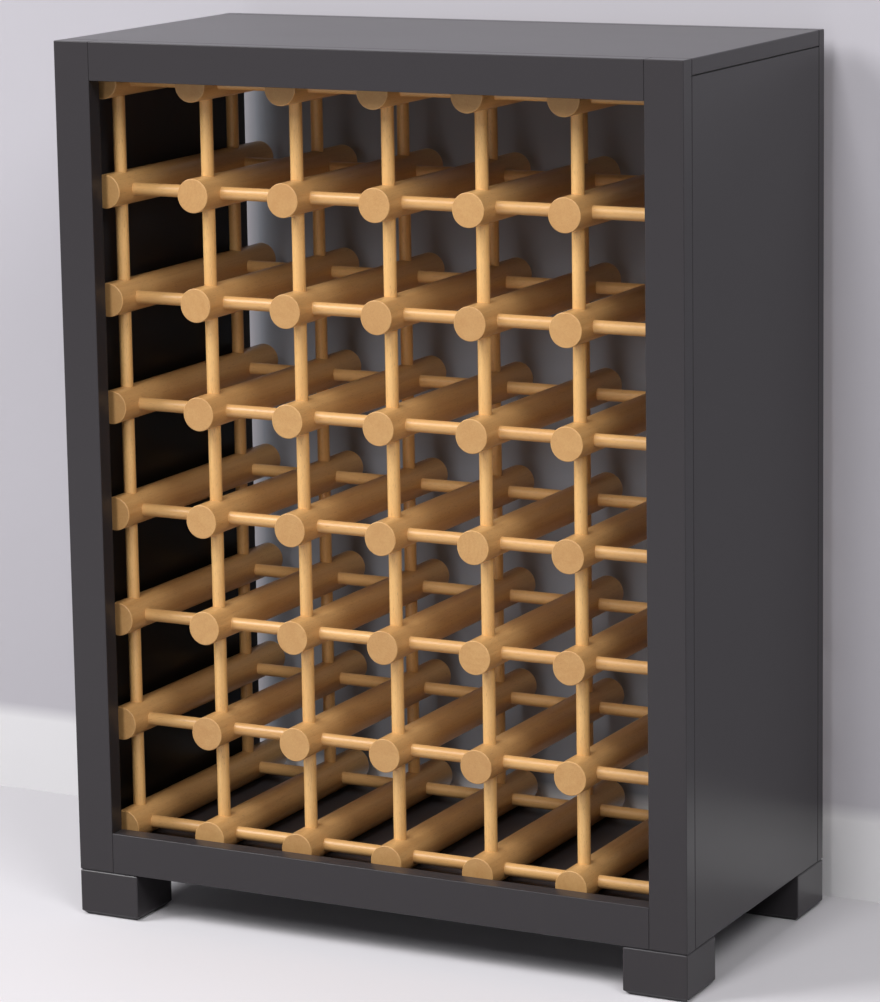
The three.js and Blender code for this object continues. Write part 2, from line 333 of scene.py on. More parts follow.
class Wiring:
    """Adds the nodes of one tree and joins them."""

    def __init__(self, tree: bpy.types.NodeTree) -> None:
        """Keeps the node tree of a material, a world or a group, and empties it."""
        self.tree = tree
        self.tree.nodes.clear()

    def node(self, kind: str, sockets: dict | None = None, **settings: object) -> bpy.types.Node:
        """Adds a node.

        Args:
            kind: the node's type name.
            sockets: a value or another node's output for each input, by name or number.
            settings: the node's own properties.

        Returns:
            The node.
        """
        node = self.tree.nodes.new(kind)
        for name, value in settings.items():
            setattr(node, name, value)
        for socket, value in (sockets or {}).items():
            if isinstance(value, Socket):
                self.tree.links.new(value, node.inputs[socket])
            else:
                node.inputs[socket].default_value = value
        return node

    def math(self, operation: str, *values: object, clamp: bool = False) -> Socket:
        """One operation on up to three numbers or sockets, held between 0 and 1 if clamp is set."""
        node = self.node("ShaderNodeMath", dict(enumerate(values)), operation=operation, use_clamp=clamp)
        return node.outputs[0]

    def stretched(self, place: Socket, along: float) -> Socket:
        """A place whose first part is multiplied by a factor."""
        sockets = {0: place, 1: (along, 1, 1)}
        return self.node("ShaderNodeVectorMath", sockets, operation="MULTIPLY").outputs[0]

    def noise(self, place: Socket, scale: object, detail: float, roughness: float = 0.5) -> Socket:
        """Fractal noise about 0.5: its scale is in features per metre, and its detail is in octaves."""
        sockets = {"Vector": place, "Scale": scale, "Detail": detail, "Roughness": roughness}
        return self.node("ShaderNodeTexNoise", sockets).outputs[0]

    def span(self, value: Socket, reach: tuple[float, float], low: float = 0.0, high: float = 1.0) -> Socket:
        """A value moved in a straight line from the range reach to low and high, and held between them."""
        sockets = {"Value": value, "From Min": reach[0], "From Max": reach[1], "To Min": low, "To Max": high}
        return self.node("ShaderNodeMapRange", sockets).outputs[0]

    def blend(self, share: Socket, first: object, second: object) -> Socket:
        """A mix of two colours, of which the share counts the second."""
        return self.node("ShaderNodeMix", {0: share, 6: first, 7: second}, data_type="RGBA").outputs[2]

    def blend_shaders(self, share: Socket, first: Socket, second: Socket) -> Socket:
        """A mix of two surfaces or backgrounds, of which the share counts the second."""
        return self.node("ShaderNodeMixShader", {0: share, 1: first, 2: second}).outputs[0]

    def mark(self, name: str, output: str = "Fac") -> Socket:
        """A number or a vector that the vertices carry."""
        return self.node("ShaderNodeAttribute", attribute_name=name).outputs[output]

    def bump(self, height: Socket, strength: float, distance: float) -> Socket:
        """A normal that follows a height."""
        sockets = {"Height": height, "Strength": strength, "Distance": distance}
        return self.node("ShaderNodeBump", sockets).outputs[0]

    def skin(self, sockets: dict[str, object]) -> Socket:
        """The main surface, with these values."""
        return self.node("ShaderNodeBsdfPrincipled", sockets).outputs[0]


def new_material(name: str) -> tuple[bpy.types.Material, Wiring]:
    """Starts a material that has no nodes.

    Args:
        name: the material's name.

    Returns:
        The material and its wiring.
    """
    material = bpy.data.materials.new(name)
    material.use_nodes = True
    return material, Wiring(material.node_tree)


def new_group(name: str, inputs: dict[str, str], outputs: dict[str, str]) -> tuple[Wiring, dict]:
    """Starts a node group with named sockets.

    Args:
        name: the group's name.
        inputs: socket type of each input, by name.
        outputs: socket type of each output, by name.

    Returns:
        The group's wiring, and the sockets that give its inputs, by name.
    """
    tree = bpy.data.node_groups.new(name, "ShaderNodeTree")
    for way, sockets in (("INPUT", inputs), ("OUTPUT", outputs)):
        for socket, kind in sockets.items():
            tree.interface.new_socket(socket, in_out=way, socket_type=kind)
    wiring = Wiring(tree)
    entry = wiring.node("NodeGroupInput")
    return wiring, {key: entry.outputs[key] for key in inputs}


@dataclass(frozen=True)
class Streaks:
    """Noise drawn out along a stick."""

    scale: float  # features per metre across the stick
    along: float  # how much of the way along the stick counts
    detail: float  # octaves
    roughness: float = 0.5  # strength of each octave against the one before

    def add(self, wiring: Wiring, place: Socket) -> Socket:
        """Adds the noise at a place that runs along the stick first."""
        return wiring.noise(wiring.stretched(place, self.along), self.scale, self.detail, self.roughness)


@dataclass(frozen=True)
class Grain:
    """The grain of a clear lacquered stick, as a solid pattern that the sides and the ends both cut.

    Growth rings are a sine of the distance from the heart, bent by the broad streaks. Pores are the peaks of
    the finest noise.
    """

    broad: Streaks = Streaks(95.0, 0.05, 2.0)
    fine: Streaks = Streaks(420.0, 0.04, 3.0, 0.6)
    fibre: Streaks = Streaks(1500.0, 0.03, 2.0)
    pores: Streaks = Streaks(1900.0, 0.1, 1.0)
    streak_range: tuple[float, float] = (0.3, 0.7)  # where most of a noise lies
    pore_range: tuple[float, float] = (0.6, 0.75)  # the peaks that are pores
    heart_along: float = 0.006  # how much of the way along counts in the distance from the heart
    ring_gap: float = 0.0042
    ring_bend: float = 0.007
    ring_share: float = 0.2  # of the warm colour
    fine_share: float = 0.45
    broad_share: float = 0.35
    pore_share: float = 0.4  # of the deep colour
    tone_share: float = 0.42
    end_share: float = 0.2
    smooth: float = 0.27  # roughness of the smoothest lacquer
    fibre_rough: float = 0.16  # what fibres add to it
    end_rough: float = 0.12  # what an end face adds

    def group(self) -> bpy.types.NodeTree:
        """Builds the grain's nodes.

        Returns:
            The group, with outputs Colour, Roughness and Height.
        """
        inputs = {"Place": VECTOR, "End": FLOAT, "Tone": FLOAT}
        inputs |= {"Pale": COLOUR, "Warm": COLOUR, "Deep": COLOUR}
        outputs = {"Colour": COLOUR, "Roughness": FLOAT, "Height": FLOAT}
        wiring, given = new_group("stick_grain", inputs, outputs)
        place, end, deep = given["Place"], given["End"], given["Deep"]
        broad, fine = self.broad.add(wiring, place), self.fine.add(wiring, place)
        fibre = self.fibre.add(wiring, place)
        pore = wiring.span(self.pores.add(wiring, place), self.pore_range)
        cross = wiring.stretched(place, self.heart_along)
        heart = wiring.node("ShaderNodeVectorMath", {0: cross}, operation="LENGTH").outputs["Value"]
        bent = wiring.math("MULTIPLY_ADD", broad, self.ring_bend, heart)
        ring = wiring.math("SINE", wiring.math("MULTIPLY", bent, 2 * math.pi / self.ring_gap))
        ring = wiring.math("MULTIPLY_ADD", ring, 0.5, 0.5)
        grain = wiring.math("MULTIPLY", ring, self.ring_share)
        fine = wiring.span(fine, self.streak_range)
        grain = wiring.math("MULTIPLY_ADD", fine, self.fine_share, grain)
        broad = wiring.span(broad, self.streak_range)
        grain = wiring.math("MULTIPLY_ADD", broad, self.broad_share, grain, clamp=True)
        colour = wiring.blend(grain, given["Pale"], given["Warm"])
        colour = wiring.blend(wiring.math("MULTIPLY", pore, self.pore_share), colour, deep)
        colour = wiring.blend(wiring.span(given["Tone"], (-1, 1), 0.0, self.tone_share), colour, deep)
        colour = wiring.blend(wiring.math("MULTIPLY", end, self.end_share), colour, deep)
        rough = wiring.math("MULTIPLY_ADD", fibre, self.fibre_rough, self.smooth)
        rough = wiring.math("MULTIPLY_ADD", end, self.end_rough, rough)
        height = wiring.math("MULTIPLY", wiring.math("SUBTRACT", fibre, pore), 0.5)
        wiring.node("NodeGroupOutput", {"Colour": colour, "Roughness": rough, "Height": height})
        return wiring.tree


class Coating:
    """The stipple and the lighter edges that the painted and the plated finish share: worn edges, and on the
    paint also a painted highlight.
    """

    drift_noise: tuple[float, float] = (3.0, 0.6)  # octaves, and the strength of each against the last
    stipple_octaves: float = 2.0
    patch_noise: tuple[float, float] = (4.0, 0.65)  # octaves, and the strength of each against the last
    patch_range: tuple[float, float] = (0.45, 0.75)  # the noise at which a patch begins, and where it is full
    least_wear_and_highlight: float = 0.15  # how strong a lighter edge is between two patches
    edge_range: tuple[float, float] = (0.35, 1.0)  # the edge marks at which the lighter edge begins and is full

    def __init__(self) -> None:
        """Builds the two node groups once."""
        self.stipple = self.stipple_group()
        self.wear_and_highlight_tree = self.wear_and_highlight_group()

    def stipple_group(self) -> bpy.types.NodeTree:
        """Builds the stipple of a coat: two noises at named scales.

        Returns:
            The group, with outputs Drift, which is broad, and Height, which is fine.
        """
        inputs = {"Place": VECTOR, "Broad scale": FLOAT, "Fine scale": FLOAT}
        wiring, given = new_group("coat_stipple", inputs, {"Drift": FLOAT, "Height": FLOAT})
        drift = wiring.noise(given["Place"], given["Broad scale"], *self.drift_noise)
        fine = wiring.noise(given["Place"], given["Fine scale"], self.stipple_octaves)
        wiring.node("NodeGroupOutput", {"Drift": drift, "Height": fine})
        return wiring.tree

    def wear_and_highlight_group(self) -> bpy.types.NodeTree:
        """Builds a mask of lighter edges, worn by handling and on the paint also a painted highlight: the
        edge mark, broken up by noise.

        Returns:
            The group, with the output Mask.
        """
        inputs = {"Place": VECTOR, "Edge": FLOAT, "Patch scale": FLOAT}
        wiring, given = new_group("edge_wear_and_highlight", inputs, {"Mask": FLOAT})
        patches = wiring.noise(given["Place"], given["Patch scale"], *self.patch_noise)
        broken = wiring.span(patches, self.patch_range, self.least_wear_and_highlight, 1.0)
        near_edge = wiring.span(given["Edge"], self.edge_range)
        wiring.node("NodeGroupOutput", {"Mask": wiring.math("MULTIPLY", near_edge, broken)})
        return wiring.tree

    def add(self, wiring: Wiring, broad: float, fine: float, patch: float) -> tuple[Socket, Socket, Socket]:
        """Adds both groups to a material.

        Args:
            wiring: the material's nodes.
            broad: features per metre of the drift.
            fine: features per metre of the stipple.
            patch: patches of the lighter edges per metre.

        Returns:
            The drift, the stipple's height and the mask of lighter edges.
        """
        place = wiring.node("ShaderNodeTexCoord").outputs["Object"]
        scales = {"Place": place, "Broad scale": broad, "Fine scale": fine}
        coat = wiring.node("ShaderNodeGroup", scales, node_tree=self.stipple)
        edges = {"Place": place, "Edge": wiring.mark("edge"), "Patch scale": patch}
        edge_mask = wiring.node("ShaderNodeGroup", edges, node_tree=self.wear_and_highlight_tree)
        return coat.outputs["Drift"], coat.outputs["Height"], edge_mask.outputs["Mask"]


@dataclass(frozen=True)
class SatinPaint:
    """Satin charcoal paint on the boards and feet."""

    body: Colour = (0.04, 0.0362, 0.0395, 1.0)
    rubbed_and_highlight: Colour = (0.085, 0.083, 0.09, 1.0)  # along edges: worn paint, and a painted highlight
    seam_shade: Colour = (0.004, 0.004, 0.004, 1.0)  # painted shade deep in a seam between two boards
    rub_and_highlight_share: float = 0.5
    seam_range: tuple[float, float] = (0.05, 0.4)
    gloss: tuple[float, float] = (0.27, 0.29)  # roughness where the coat is smoothest and roughest
    scales: tuple[float, float, float] = (9.0, 320.0, 60.0)  # drift, stipple, and patches of the lighter edges, per metre
    stipple: tuple[float, float] = (0.04, 0.1 * MM)  # strength and depth
    sheen: float = 0.24

    def material(self, coating: Coating) -> bpy.types.Material:
        """Builds the paint.

        Args:
            coating: the groups for the stipple and the lighter edges, which are worn paint and a painted
                highlight.

        Returns:
            The material.
        """
        material, wiring = new_material(Slot.PAINT.value)
        drift, height, edge_mask = coating.add(wiring, *self.scales)
        # Lighter edges: worn paint, and a painted highlight along the edges
        colour = wiring.blend(wiring.math("MULTIPLY", edge_mask, self.rub_and_highlight_share), self.body, self.rubbed_and_highlight)
        # Painted shade: the paint goes near black in the seams between boards
        colour = wiring.blend(wiring.span(wiring.mark("seam"), self.seam_range), colour, self.seam_shade)
        skin = wiring.skin({
            "Base Color": colour,
            "Roughness": wiring.span(drift, (0.0, 1.0), *self.gloss),
            "Normal": wiring.bump(height, *self.stipple),
            "Specular IOR Level": self.sheen,
        })
        wiring.node("ShaderNodeOutputMaterial", {"Surface": skin})
        return material


@dataclass(frozen=True)
class LacqueredWood:
    """Clear satin lacquer on pale honey wood."""

    pale: Colour = (0.93, 0.583, 0.232, 1.0)
    warm: Colour = (0.76, 0.43, 0.152, 1.0)
    deep: Colour = (0.26, 0.105, 0.039, 1.0)  # pores and the darkest sticks
    relief: tuple[float, float] = (0.2, 0.3 * MM)  # strength and depth
    sheen: float = 0.4
    lacquer: float = 0.08  # how much clear coat shows
    lacquer_rough: float = 0.2

    def material(self) -> bpy.types.Material:
        """Builds the wood.

        Returns:
            The material.
        """
        material, wiring = new_material(Slot.WOOD.value)
        marks = {"Place": wiring.mark("stick", "Vector"), "End": wiring.mark("end_face")}
        marks |= {"Tone": wiring.mark("tone"), "Pale": self.pale, "Warm": self.warm, "Deep": self.deep}
        cut = wiring.node("ShaderNodeGroup", marks, node_tree=Grain().group())
        skin = wiring.skin({
            "Base Color": cut.outputs["Colour"],
            "Roughness": cut.outputs["Roughness"],
            "Normal": wiring.bump(cut.outputs["Height"], *self.relief),
            "Specular IOR Level": self.sheen,
            "Coat Weight": self.lacquer,
            "Coat Roughness": self.lacquer_rough,
        })
        wiring.node("ShaderNodeOutputMaterial", {"Surface": skin})
        return material


@dataclass(frozen=True)
class ZincSteel:
    """Zinc plated steel of the foot screws."""

    bright: Colour = (0.62, 0.62, 0.60, 1.0)
    dull: Colour = (0.38, 0.38, 0.38, 1.0)  # where it has greyed
    grey_range: tuple[float, float] = (0.35, 0.65)  # the drift between which it greys
    gloss: tuple[float, float] = (0.28, 0.45)  # roughness where the plating is smoothest and roughest
    gloss_range: tuple[float, float] = (0.3, 0.7)  # the drift between which its roughness changes
    scales: tuple[float, float, float] = (700.0, 5000.0, 900.0)  # mottle, grit and rubbed patches per metre
    grit: tuple[float, float] = (0.1, 0.1 * MM)  # strength and depth

    def material(self, coating: Coating) -> bpy.types.Material:
        """Builds the steel.

        Args:
            coating: the groups for the mottle and the worn edges.

        Returns:
            The material.
        """
        material, wiring = new_material(Slot.STEEL.value)
        drift, height, edge_mask = coating.add(wiring, *self.scales)
        colour = wiring.blend(wiring.span(drift, self.grey_range), self.bright, self.dull)
        skin = wiring.skin({
            "Base Color": wiring.blend(edge_mask, colour, self.bright),
            "Roughness": wiring.span(drift, self.gloss_range, *self.gloss),
            "Normal": wiring.bump(height, *self.grit),
            "Metallic": 1.0,
        })
        wiring.node("ShaderNodeOutputMaterial", {"Surface": skin})
        return material


class Workshop:
    """Finishes each piece: its material, its body, its slot and the nodes that it stands in for."""

    def __init__(self) -> None:
        """Mixes the three finishes once."""
        coating = Coating()
        self.materials = {
            Slot.PAINT: SatinPaint().material(coating),
            Slot.WOOD: LacqueredWood().material(),
            Slot.STEEL: ZincSteel().material(coating),
        }

    def fit(self, surface: Surface, name: str, slot: Slot, nodes: list[str]) -> None:
        """Turns a surface into a finished piece.

        Args:
            surface: the piece's surface.
            name: the piece's name.
            slot: its finish.
            nodes: the frame nodes that it replaces.
        """
        piece = surface.piece(name)
        piece.data.materials.append(self.materials[slot])
        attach(piece, BODY)
        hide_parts(*nodes)
        LOG.info("%s: %d faces in %s", name, len(piece.data.polygons), slot.value)


@dataclass
class Carcass:
    """The painted box: boards, face frame and back edging."""

    workshop: Workshop
    eased_edge: float = 0.9 * MM  # radius on the edges of the face frame and the back edging
    panel_edge: float = 1.4 * MM  # radius on the edges of the panels, which meet in wider grooves
    filled_seam: float = 0.15  # how much of the painted seam shade shows where one of its two boards isn't a panel

    def board(self, node: str, boxes: dict[str, Box]) -> Surface:
        """A board with rounded edges, with painted shade where another board lies close.

        Args:
            node: the board's frame node.
            boxes: the box of every board, by node.

        Returns:
            The board's surface, marked "edge" and "seam".
        """
        reach = self.panel_edge if "panel" in node else self.eased_edge
        block = rounded_block(boxes[node], reach)
        seam = np.zeros(len(block.points))
        for other, box in boxes.items():
            if other != node:
                strength = 1.0 if "panel" in node and "panel" in other else self.filled_seam
                seam = np.maximum(seam, strength * box.nearness(block.points, reach))
        block.marks["seam"] = seam
        return block

    def build(self) -> None:
        """Makes each board from its node's box."""
        boards = {
            "top_panel": "top_board", "bottom_panel": "bottom_board",
            "side_panel_left": "left_side_board", "side_panel_right": "right_side_board",
            "front_stile_left": "left_stile", "front_stile_right": "right_stile",
            "front_rail_top": "top_rail", "front_rail_bottom": "bottom_rail",
            "back_edging_left": "left_back_strip", "back_edging_right": "right_back_strip",
            "back_edging_top": "top_back_strip", "back_edging_bottom": "bottom_back_strip",
        }
        boxes = {node: Box.of(node) for node in boards}
        for node, name in boards.items():
            self.workshop.fit(self.board(node, boxes), name, Slot.PAINT, [node])


@dataclass
class Screw:
    """A pan head screw seen from below, with a cross recess."""

    head_height: float = 3.5 * MM
    dome_rise: float = 0.9 * MM  # how far the dome rises from its middle to its rim
    dome_power: float = 2.5  # how flat it is in the middle
    dome_steps: int = 16
    dome_start: float = 0.04  # its innermost ring, in parts of the head's radius
    worn_from: float = 0.85  # where its rim starts to be rubbed, in the same parts
    rim_level: float = 0.9  # where the head's wall starts to turn in, in parts of its height
    rim_reach: float = 0.97  # the radius that it turns in to, in parts of the head's
    shank_radius: float = 2.5 * MM
    point: float = 0.1  # the flat at the end of the shank, in parts of its radius
    recess_reach: float = 3.4 * MM  # length of each arm of the cross
    recess_width: float = 1.1 * MM
    recess_depth: float = 1.9 * MM
    wall_slope: float = 0.3 * MM  # over how much of its width an arm's wall slopes
    end_slope: float = 0.5 * MM  # over how much of its length its end does
    sides: int = 48

    def recess(self, flat: np.ndarray) -> np.ndarray:
        """How deep the cross goes at each place on the dome, one row a place."""
        across, reach = np.abs(flat).min(axis=1), np.abs(flat).max(axis=1)
        inside = np.clip((self.recess_width / 2 - across) / self.wall_slope + 0.5, 0, 1)
        return inside * np.clip((self.recess_reach - reach) / self.end_slope, 0, 1) * self.recess_depth

    def surface(self, box: Box) -> Surface:
        """The screw, head down.

        Radius and height follow a profile from the head's middle out over its dome, whose height is its rise
        times a power of the share of the head's radius. Then it goes up the head's wall, in under the head,
        and up the shank to a point as long as the shank is wide. Inside the cross the dome is pushed up.

        Args:
            box: the screw's box.

        Returns:
            The surface, marked "edge" on the rim of the head.
        """
        head, length, shank, under = box.size[0] / 2, box.size[2], self.shank_radius, self.head_height
        dome = np.linspace(self.dome_start, 1.0, self.dome_steps)
        past = [head, head * self.rim_reach, shank, shank, shank * self.point, 0.0]
        radii = np.concatenate([[0.0], head * dome, past])
        past = [under * self.rim_level, under, under, length - 2 * shank, length, length]
        heights = np.concatenate([[0.0], self.dome_rise * dome**self.dome_power, past])
        rim = np.clip((dome - self.worn_from) / (1 - self.worn_from), 0, 1)
        # The wear is full on the head's wall, half where it has turned in, and none on the shank
        edge = np.repeat(np.concatenate([rim, [1.0, 0.5, 0.0, 0.0, 0.0]]), self.sides)
        local = spun(heights, radii, self.sides)
        on_dome = np.repeat(np.arange(radii.size - 2) < self.dome_steps, self.sides)
        on_dome = np.concatenate([on_dome, [True, False]])
        level = local[:, 0] + np.where(on_dome, self.recess(local[:, 1:]), 0.0)
        points = np.column_stack([local[:, 1:], level]) + box.foot
        edge = np.concatenate([edge, [0.0, 0.0]])
        return Surface.faceted(points, ring_faces(radii.size - 2, self.sides), edge)


@dataclass
class Feet:
    """Four square block feet, each with its counterbore and screw."""

    workshop: Workshop
    corner_radius: float = 1.2 * MM  # rounding of the upright corners
    floor_chamfer: float = 4 * MM
    top_chamfer: float = 1.5 * MM
    softening: float = 0.5 * MM  # how far from the edges of the chamfers the easing starts
    easing: float = 0.3  # how far the eased edges draw in, in parts of that
    bore_radius: float = 5.8 * MM  # the wide part of the screw hole
    bore_depth: float = 18 * MM
    hole_radius: float = 2.8 * MM  # the narrow part above it
    hole_cover: float = 1 * MM  # the wood left over the hole
    floor_wear_and_highlight: float = 0.3  # the mark "edge" at the floor, for worn paint and a painted highlight
    top_wear_and_highlight: float = 1.0  # and under the box, where it makes worn paint and a painted highlight along the top bevel
    corner_steps: int = 7  # points round each upright corner
    side_steps: int = 8  # points between two corners

    def outline(self, half: float) -> np.ndarray:
        """A square outline with rounded corners.

        One quarter is a quarter circle about the inset corner, from angle 0 to 90 degrees, then even steps
        along the side as far as the next quarter. The other quarters are that one turned by 90 degrees each.

        Args:
            half: half the side of the square.

        Returns:
            The outline's points, one row each.
        """
        core = half - self.corner_radius
        turn = np.linspace(0.0, math.pi / 2, self.corner_steps)
        arc = core + self.corner_radius * np.stack([np.cos(turn), np.sin(turn)], axis=1)
        share = np.arange(1, self.side_steps + 1) / (self.side_steps + 1)
        side = np.stack([core * (1 - 2 * share), np.full(share.size, half)], axis=1)
        quarters = [np.concatenate([arc, side])]
        for _ in range(3):
            quarters.append(np.stack([-quarters[-1][:, 1], quarters[-1][:, 0]], axis=1))
        return np.concatenate(quarters)

    def block(self, box: Box) -> Surface:
        """A foot: rings from the bottom of the screw hole, out under the floor face and up to the top.

        Args:
            box: the foot's box.

        Returns:
            The foot's surface, marked "edge" where it is chamfered.
        """
        half, height = box.size[0] / 2, box.size[2]
        soft, eased = self.softening, self.softening * self.easing
        bore, depth, hole_top = self.bore_radius, self.bore_depth, height - self.hole_cover
        chamfer, top = self.floor_chamfer, self.top_chamfer
        square = self.outline(half)
        circle = square / np.linalg.norm(square, axis=1, keepdims=True)
        rings = [
            (circle * self.hole_radius, hole_top, 0.0),
            (circle * self.hole_radius, depth, 0.0),
            (circle * bore, depth, 0.0),
            (circle * bore, soft, self.floor_wear_and_highlight),
            (circle * (bore + soft), 0.0, self.floor_wear_and_highlight),
            (self.outline(half - chamfer - soft), 0.0, 0.0),
            (self.outline(half - chamfer), eased, self.floor_wear_and_highlight),
            (self.outline(half - eased), chamfer, self.floor_wear_and_highlight),
            (square, chamfer + soft, 0.0),
            (square, height - top - soft, 0.0),
            (self.outline(half - eased), height - top, self.top_wear_and_highlight),
            (self.outline(half - top), height - eased, self.top_wear_and_highlight),
            (self.outline(half - top - soft), height, 0.0),
        ]
        flat, level, edge = zip(*rings)
        sides = len(square)
        points = np.column_stack([np.concatenate(flat), np.repeat(level, sides)])
        points = np.concatenate([points, [[0, 0, hole_top], [0, 0, height]]]) + box.foot
        edge = np.concatenate([np.repeat(edge, sides), [0.0, 0.0]])
        return Surface.faceted(points, ring_faces(len(rings), sides), edge)

    def build(self) -> None:
        """Makes the four feet and their screws."""
        for end in ENDS:
            for side in SIDES:
                foot, screw = f"foot_{end}_{side}", f"foot_screw_{end}_{side}"
                self.workshop.fit(self.block(Box.of(foot)), f"{end}_{side}_foot", Slot.PAINT, [foot])
                bolt = Screw().surface(Box.of(screw))
                self.workshop.fit(bolt, f"{end}_{side}_foot_bolt", Slot.STEEL, [screw])


@dataclass
class Lumber:
    """Cuts round sticks, each from its own part of the tree."""

    draw: np.random.Generator  # the seeded source of each stick's own values
    heart_reach: tuple[float, float] = (0.25, 1.0)  # how far a stick's heart may lie from its own axis,
    heart_far: float = 45 * MM  # in parts of this
    grain_length: float = 40.0  # how far apart along the grain the sticks are cut
    tone_spread: float = 0.3  # how far a stick's tone may lie from its stock's
    end_lean: float = 0.99  # how much along the axis a normal points on an end face, at least

    def stick(self, stock: Stock, axis: Axis, foot: np.ndarray, length: float) -> Surface:
        """A turned stick with its grain marks.

        Args:
            stock: what it is cut from.
            axis: the way that it runs.
            foot: the middle of its near end.
            length: its length.

        Returns:
            The surface, marked "stick" with its place in the tree, "end_face" on its two ends, and "tone".
        """
        surface = stock.turned(axis, foot, length)
        local = surface.marks.pop("round")
        angle = self.draw.uniform(0, 2 * math.pi)
        reach = self.draw.uniform(*self.heart_reach) * self.heart_far
        along = self.draw.uniform(0, self.grain_length)
        surface.marks["stick"] = local + (along, reach * math.cos(angle), reach * math.sin(angle))
        on_end = np.abs(surface.normals[:, axis.along]) > self.end_lean
        surface.marks["end_face"] = on_end.astype(float)
        tone = stock.tone + self.draw.uniform(-self.tone_spread, self.tone_spread)
        surface.marks["tone"] = np.full(len(local), tone)
        return surface

    def stick_in(self, node: str, stock: Stock, axis: Axis) -> Surface:
        """A stick along the middle of a node's box, as long as the box.

        Args:
            node: the frame node.
            stock: what the stick is cut from.
            axis: the way that it runs.

        Returns:
            The surface, marked as stick() marks it.
        """
        box = Box.of(node)
        foot = box.centre
        foot[axis.along] = box.low[axis.along]
        return self.stick(stock, axis, foot, float(box.size[axis.along]))


@dataclass
class Rack:
    """The lattice of deep dowels, cross pegs and upright rods."""

    workshop: Workshop
    lumber: Lumber
    rows: int = 8
    columns: int = 7
    peg_seat: float = 6 * MM  # how far a peg goes into each dowel
    dowel: Stock = Stock(16 * MM, 0.9 * MM, 64, 0.85)
    peg: Stock = Stock(6 * MM, 0.5 * MM, 32, 0.75)
    rod: Stock = Stock(6 * MM, 0.5 * MM, 32, -0.9)

    def build_row(self, row: int) -> None:
        """Makes a row of dowels with the pegs between them, on the lines of the upright rods.

        Args:
            row: the row's number, from 1 at the top.
        """
        nodes = [f"dowel_tier_{row}_{half}" for half in SIDES]
        box = Box.of(nodes[0])
        level, front, length = box.centre[2], box.low[1], float(box.size[1])
        columns = [float(Box.of(f"upright_rod_front_{n + 1}").centre[0]) for n in range(self.columns)]
        planes = [float(Box.of(f"upright_rod_{end}_1").centre[1]) for end in ENDS]
        parts = [self.lumber.stick(self.dowel, Axis.Y, np.array([x, front, level]), length) for x in columns]
        inset = self.dowel.radius - self.peg_seat
        for y in planes:
            for near, far in zip(columns[:-1], columns[1:]):
                foot = np.array([near + inset, y, level])
                parts.append(self.lumber.stick(self.peg, Axis.X, foot, far - near - 2 * inset))
        self.workshop.fit(Surface.joined(parts), f"dowel_row_{row}", Slot.WOOD, nodes)

    def build(self) -> None:
        """Makes all rows and all upright rods."""
        for row in range(1, self.rows + 1):
            self.build_row(row)
        for end in ENDS:
            for column in range(1, self.columns + 1):
                node = f"upright_rod_{end}_{column}"
                rod = self.lumber.stick_in(node, self.rod, Axis.Z)
                self.workshop.fit(rod, f"{end}_upright_{column}", Slot.WOOD, [node])


@dataclass
class JointPins:
    """The wooden pins that join the sides to the top and the bottom."""

    workshop: Workshop
    lumber: Lumber
    pin: Stock = Stock(4 * MM, 1 * MM, 24)

    def build(self) -> None:
        """Makes the eight pins."""
        for board, axis in (("top", Axis.Z), ("bottom", Axis.X)):
            for side in SIDES:
                for end in ENDS:
                    node = f"{board}_pin_{side}_{end}"
                    pin = self.lumber.stick_in(node, self.pin, axis)
                    self.workshop.fit(pin, f"{board}_{side}_{end}_pin", Slot.WOOD, [node])


@dataclass(frozen=True)
class Lamp:
    """A soft light with a flat rectangular face."""

    name: str
    place: Place
    width: float
    height: float
    power: float  # in watts
    target: Place = (0.0, 0.0, 0.42)

    def hang(self) -> None:
        """Puts the light in the scene, turned to its target."""
        light = bpy.data.lights.new(self.name, "AREA")
        light.shape = "RECTANGLE"
        light.size = self.width
        light.size_y = self.height
        light.energy = self.power
        lamp = bpy.data.objects.new(self.name, light)
        lamp.location = self.place
        look = Vector(self.target) - Vector(self.place)
        lamp.rotation_euler = look.to_track_quat("-Z", "Y").to_euler()
        bpy.context.scene.collection.objects.link(lamp)


@dataclass
class View:
    """The camera, fitted to the photograph."""

    place: Place = (1.6627, -3.2221, 1.1517)
    yaw: float = 0.47748  # how far it is turned to the left of straight back, in radians
    pitch: float = 0.17919  # how far it looks down
    roll: float = -0.01573  # how far it leans
    focal_pixels: float = 3940.97  # its focal length in pixels of the photograph
    centre_row: float = 400.0  # the pixel row that the lens axis meets
    sight: float = 100.0  # how far it sees

    def build(self) -> None:
        """Places the camera.

        It looks along (-sin yaw cos pitch, cos yaw cos pitch, -sin pitch). Its right hand is level, then both
        its right hand and its up are turned about the view by the roll.
        """
        camera = bpy.data.cameras.new("camera")
        camera.sensor_width = FILM_SIDE
        camera.lens = self.focal_pixels * FILM_SIDE / PHOTO_HEIGHT
        camera.shift_y = (self.centre_row - PHOTO_HEIGHT / 2) / PHOTO_HEIGHT
        camera.clip_end = self.sight
        ahead = Vector((
            -math.sin(self.yaw) * math.cos(self.pitch),
            math.cos(self.yaw) * math.cos(self.pitch),
            -math.sin(self.pitch),
        ))
        level = Vector((math.cos(self.yaw), math.sin(self.yaw), 0.0))
        above = level.cross(ahead)
        right = level * math.cos(self.roll) + above * math.sin(self.roll)
        up = above * math.cos(self.roll) - level * math.sin(self.roll)
        stand = bpy.data.objects.new("camera", camera)
        turn = Matrix((right, up, -ahead)).transposed()
        stand.matrix_world = Matrix.Translation(Vector(self.place)) @ turn.to_4x4()
        bpy.context.scene.collection.objects.link(stand)
        bpy.context.scene.camera = stand


